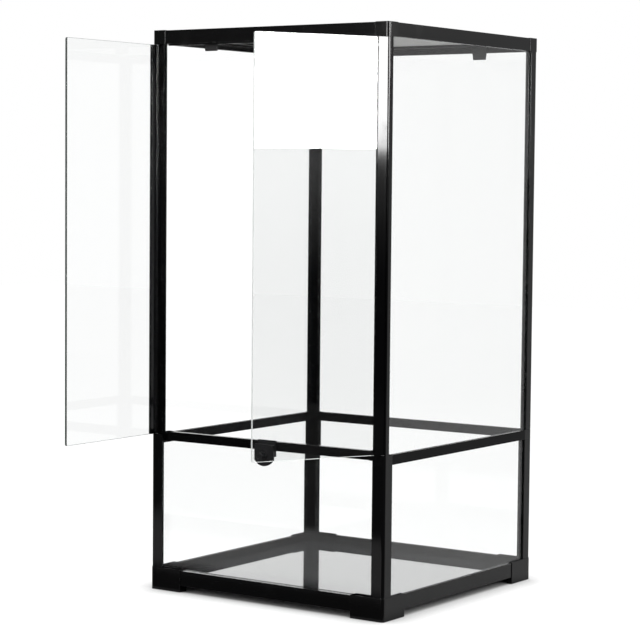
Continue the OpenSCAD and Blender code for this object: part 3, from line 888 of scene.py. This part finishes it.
# Where the ground is painted black to mirrored rays, and the pale strip left in it for the painted
# veil
DARK_REFLECTION_BEFORE_Y = -0.24
DARK_REFLECTION_SLANT, DARK_REFLECTION_SLANT_START = -0.45, -0.34
STRIP_MIDDLE_Y, STRIP_END_X = -0.62, 0.2
STRIP_HALF, STRIP_FADED = 0.16, 0.27


def contact_shade(tree):
    """1 on open paper, down to 0 where the cabinet is right above it."""
    reach = {"Distance": SHADOW_REACH}
    openness = make(tree, "ShaderNodeAmbientOcclusion", reach, samples=SHADOW_SAMPLES)
    clear = ramp(tree, openness.outputs["AO"], SHADOW_DARKEST, SHADOW_NONE)
    return maths(tree, "POWER", clear, SHADOW_CURVE)


def painted_black_to_mirrors(tree):
    """1 where the ground is painted black to mirrors, and less in the pale strip that paints the
    veil.
    """
    axes = make(tree, "ShaderNodeSeparateXYZ", {"Vector": place_on_piece(tree)}).outputs
    before_front = maths(tree, "LESS_THAN", axes["Y"], DARK_REFLECTION_BEFORE_Y)
    slant = maths(tree, "MULTIPLY_ADD", axes["X"], DARK_REFLECTION_SLANT, axes["Y"])
    beside = maths(tree, "LESS_THAN", slant, DARK_REFLECTION_SLANT_START)
    darkened_to_mirrors = maths(tree, "MAXIMUM", before_front, beside)
    from_middle = maths(tree, "ABSOLUTE", maths(tree, "ADD", axes["Y"], -STRIP_MIDDLE_Y))
    strip = ramp(
        tree, from_middle, STRIP_HALF, STRIP_FADED, low=1.0, high=0.0, blend="SMOOTHSTEP"
    )
    left_of_end = maths(tree, "LESS_THAN", axes["X"], STRIP_END_X)
    pale_veil_strip = maths(tree, "MULTIPLY", strip, left_of_end)
    return maths(tree, "SUBTRACT", darkened_to_mirrors, pale_veil_strip, clamp=True)


# %% The ground's material
# The glow of the ground's painted black, as a mirror sees it
DARK_REFLECTION_GLOW = 0.07


def ground_paper(name, grey):
    """White paper, painted black over part of it for what mirrors it, a painted dark reflection.
    """
    material, tree, shader = start_material(name)
    tree.nodes.remove(shader)
    white = how_white(tree, THROUGH_GLASS_PAPER)
    strength = maths(tree, "MULTIPLY", white, contact_shade(tree))
    glow = make(tree, "ShaderNodeEmission", {"Strength": strength}).outputs[0]
    lit = make(tree, "ShaderNodeBsdfDiffuse", {"Color": (grey, grey, grey, 1)}).outputs[0]
    paper_shader = make(tree, "ShaderNodeAddShader", {0: glow, 1: lit}).outputs[0]
    mirror_only_glow = make(tree, "ShaderNodeEmission", {"Strength": DARK_REFLECTION_GLOW}).outputs[0]
    # Painted reflection: where a mirrored ray meets the darkened part, it sees the painted black
    mirror_sees_painted_black = maths(tree, "MULTIPLY", painted_black_to_mirrors(tree), mirrored(tree))
    set_surface(tree, either(tree, mirror_sees_painted_black, paper_shader, mirror_only_glow))
    return material


# %% Glowing sheets that only a mirrored ray meets, for painted reflections
def mirror_glow_sheet(name, low, high, foot=0.0, head=1.0):
    """Glows from the low to the high level between two heights, and only to a mirror."""
    material, tree, shader = start_material(name)
    tree.nodes.remove(shader)
    nothing = make(tree, "ShaderNodeBsdfTransparent").outputs[0]
    height = make(tree, "ShaderNodeSeparateXYZ", {"Vector": place_on_piece(tree)}).outputs["Z"]
    level = ramp(tree, height, foot, head, low, high, blend="SMOOTHSTEP")
    mirror_only_glow = make(tree, "ShaderNodeEmission", {"Strength": level}).outputs[0]
    set_surface(tree, either(tree, mirrored(tree), nothing, mirror_only_glow))
    return material


paper = ground_paper("ground_paper", grey=0.12)
# Dim sheets that darken the front faces' reflections, and a white one that paints the side faces'
# sheen
left_glow_sheet = mirror_glow_sheet("left_mirror_glow_sheet", low=0.14, high=0.14)
right_glow_sheet = mirror_glow_sheet("right_mirror_glow_sheet", low=0.0, high=0.4, foot=0.4, head=0.75)
back_sheen_sheet = mirror_glow_sheet("back_sheen_sheet", low=1.1, high=1.1)
print("studio finishes:", paper.name, left_glow_sheet.name, right_glow_sheet.name, back_sheen_sheet.name)


# %% Lay the ground and hang the glowing sheets
GROUND_HALF, SHEET_FOOT = 7, 0.1


def stage_sheet(name, corners, material):
    mesh = bpy.data.meshes.new(name)
    mesh.from_pydata(corners, [], [(0, 1, 2, 3)])
    sheet = new_piece(name, mesh, (material,))


def hang(name, start, end, head, material):
    """An upright sheet from one place on the ground to another, just clear of it."""
    foot = [(*start, SHEET_FOOT), (*end, SHEET_FOOT)]
    stage_sheet(name, foot + [(*end, head), (*start, head)], material)


AROUND = ((-1, -1), (1, -1), (1, 1), (-1, 1))
stage_sheet("ground", [(x * GROUND_HALF, y * GROUND_HALF, 0) for x, y in AROUND], paper)
hang("left_flag", (-3.2, -1.1), (-1.45, -3.4), head=3, material=left_glow_sheet)
hang("front_flag", (-0.3, -3.4), (2.4, -3.4), head=2.6, material=right_glow_sheet)
hang("right_flag", (2.4, -3.4), (2.4, 1.2), head=2.6, material=right_glow_sheet)
hang("back_sheen_sheet", (-3.6, 1.0), (0.4, 3.8), head=3, material=back_sheen_sheet)
print("ground laid, 4 sheets hung")


# %% The world around
ROOM_LEVEL = 0.4

world = bpy.data.worlds.new("studio")
bpy.context.scene.world = world
world.use_nodes = True
sky = world.node_tree
level = maths(sky, "MAXIMUM", how_white(sky, THROUGH_GLASS_WORLD), ROOM_LEVEL)
set_inputs(sky, sky.nodes["Background"], {"Color": (1, 1, 1, 1), "Strength": level})
print("room level:", ROOM_LEVEL)


# %% [markdown]
# ## Lamps
# Four rectangular lamps light the cabinet softly. Each one's strength is given
# as the brightness of its face, because that is what a glossy profile mirrors,
# and it stays the same when the lamp's size is changed.

# %% Lamps
def softbox(name, place, target, size, radiance):
    """A rectangular lamp of a given radiance that faces the target."""
    width, height = size
    lamp = bpy.data.lights.new(name, "AREA")
    lamp.shape = "RECTANGLE"
    lamp.size, lamp.size_y = width, height
    lamp.energy = radiance * pi * width * height
    holder = bpy.data.objects.new(name, lamp)
    facing = Vector(place) - Vector(target)
    turn = facing.to_track_quat("Z", "Y").to_matrix().to_4x4()
    holder.matrix_world = Matrix.Translation(place) @ turn
    bpy.context.scene.collection.objects.link(holder)
    print(name, round(lamp.energy, 1), "W")


softbox("right_softbox", (2.3, -0.3, 1.09), (0.1, -0.3, 1.09), size=(0.6, 0.7), radiance=38)
softbox("front_softbox", (-0.76, -3.06, 1.09), (0.22, -0.22, 1.09), size=(0.7, 0.7), radiance=30)
softbox("back_strip", (2.25, 1.85, 1.35), (0.1, -0.2, 0.9), size=(0.3, 0.8), radiance=24)
softbox("top_fill", (0, 0.2, 3.2), (0, 0, 0), size=(2.4, 2.4), radiance=1.0)
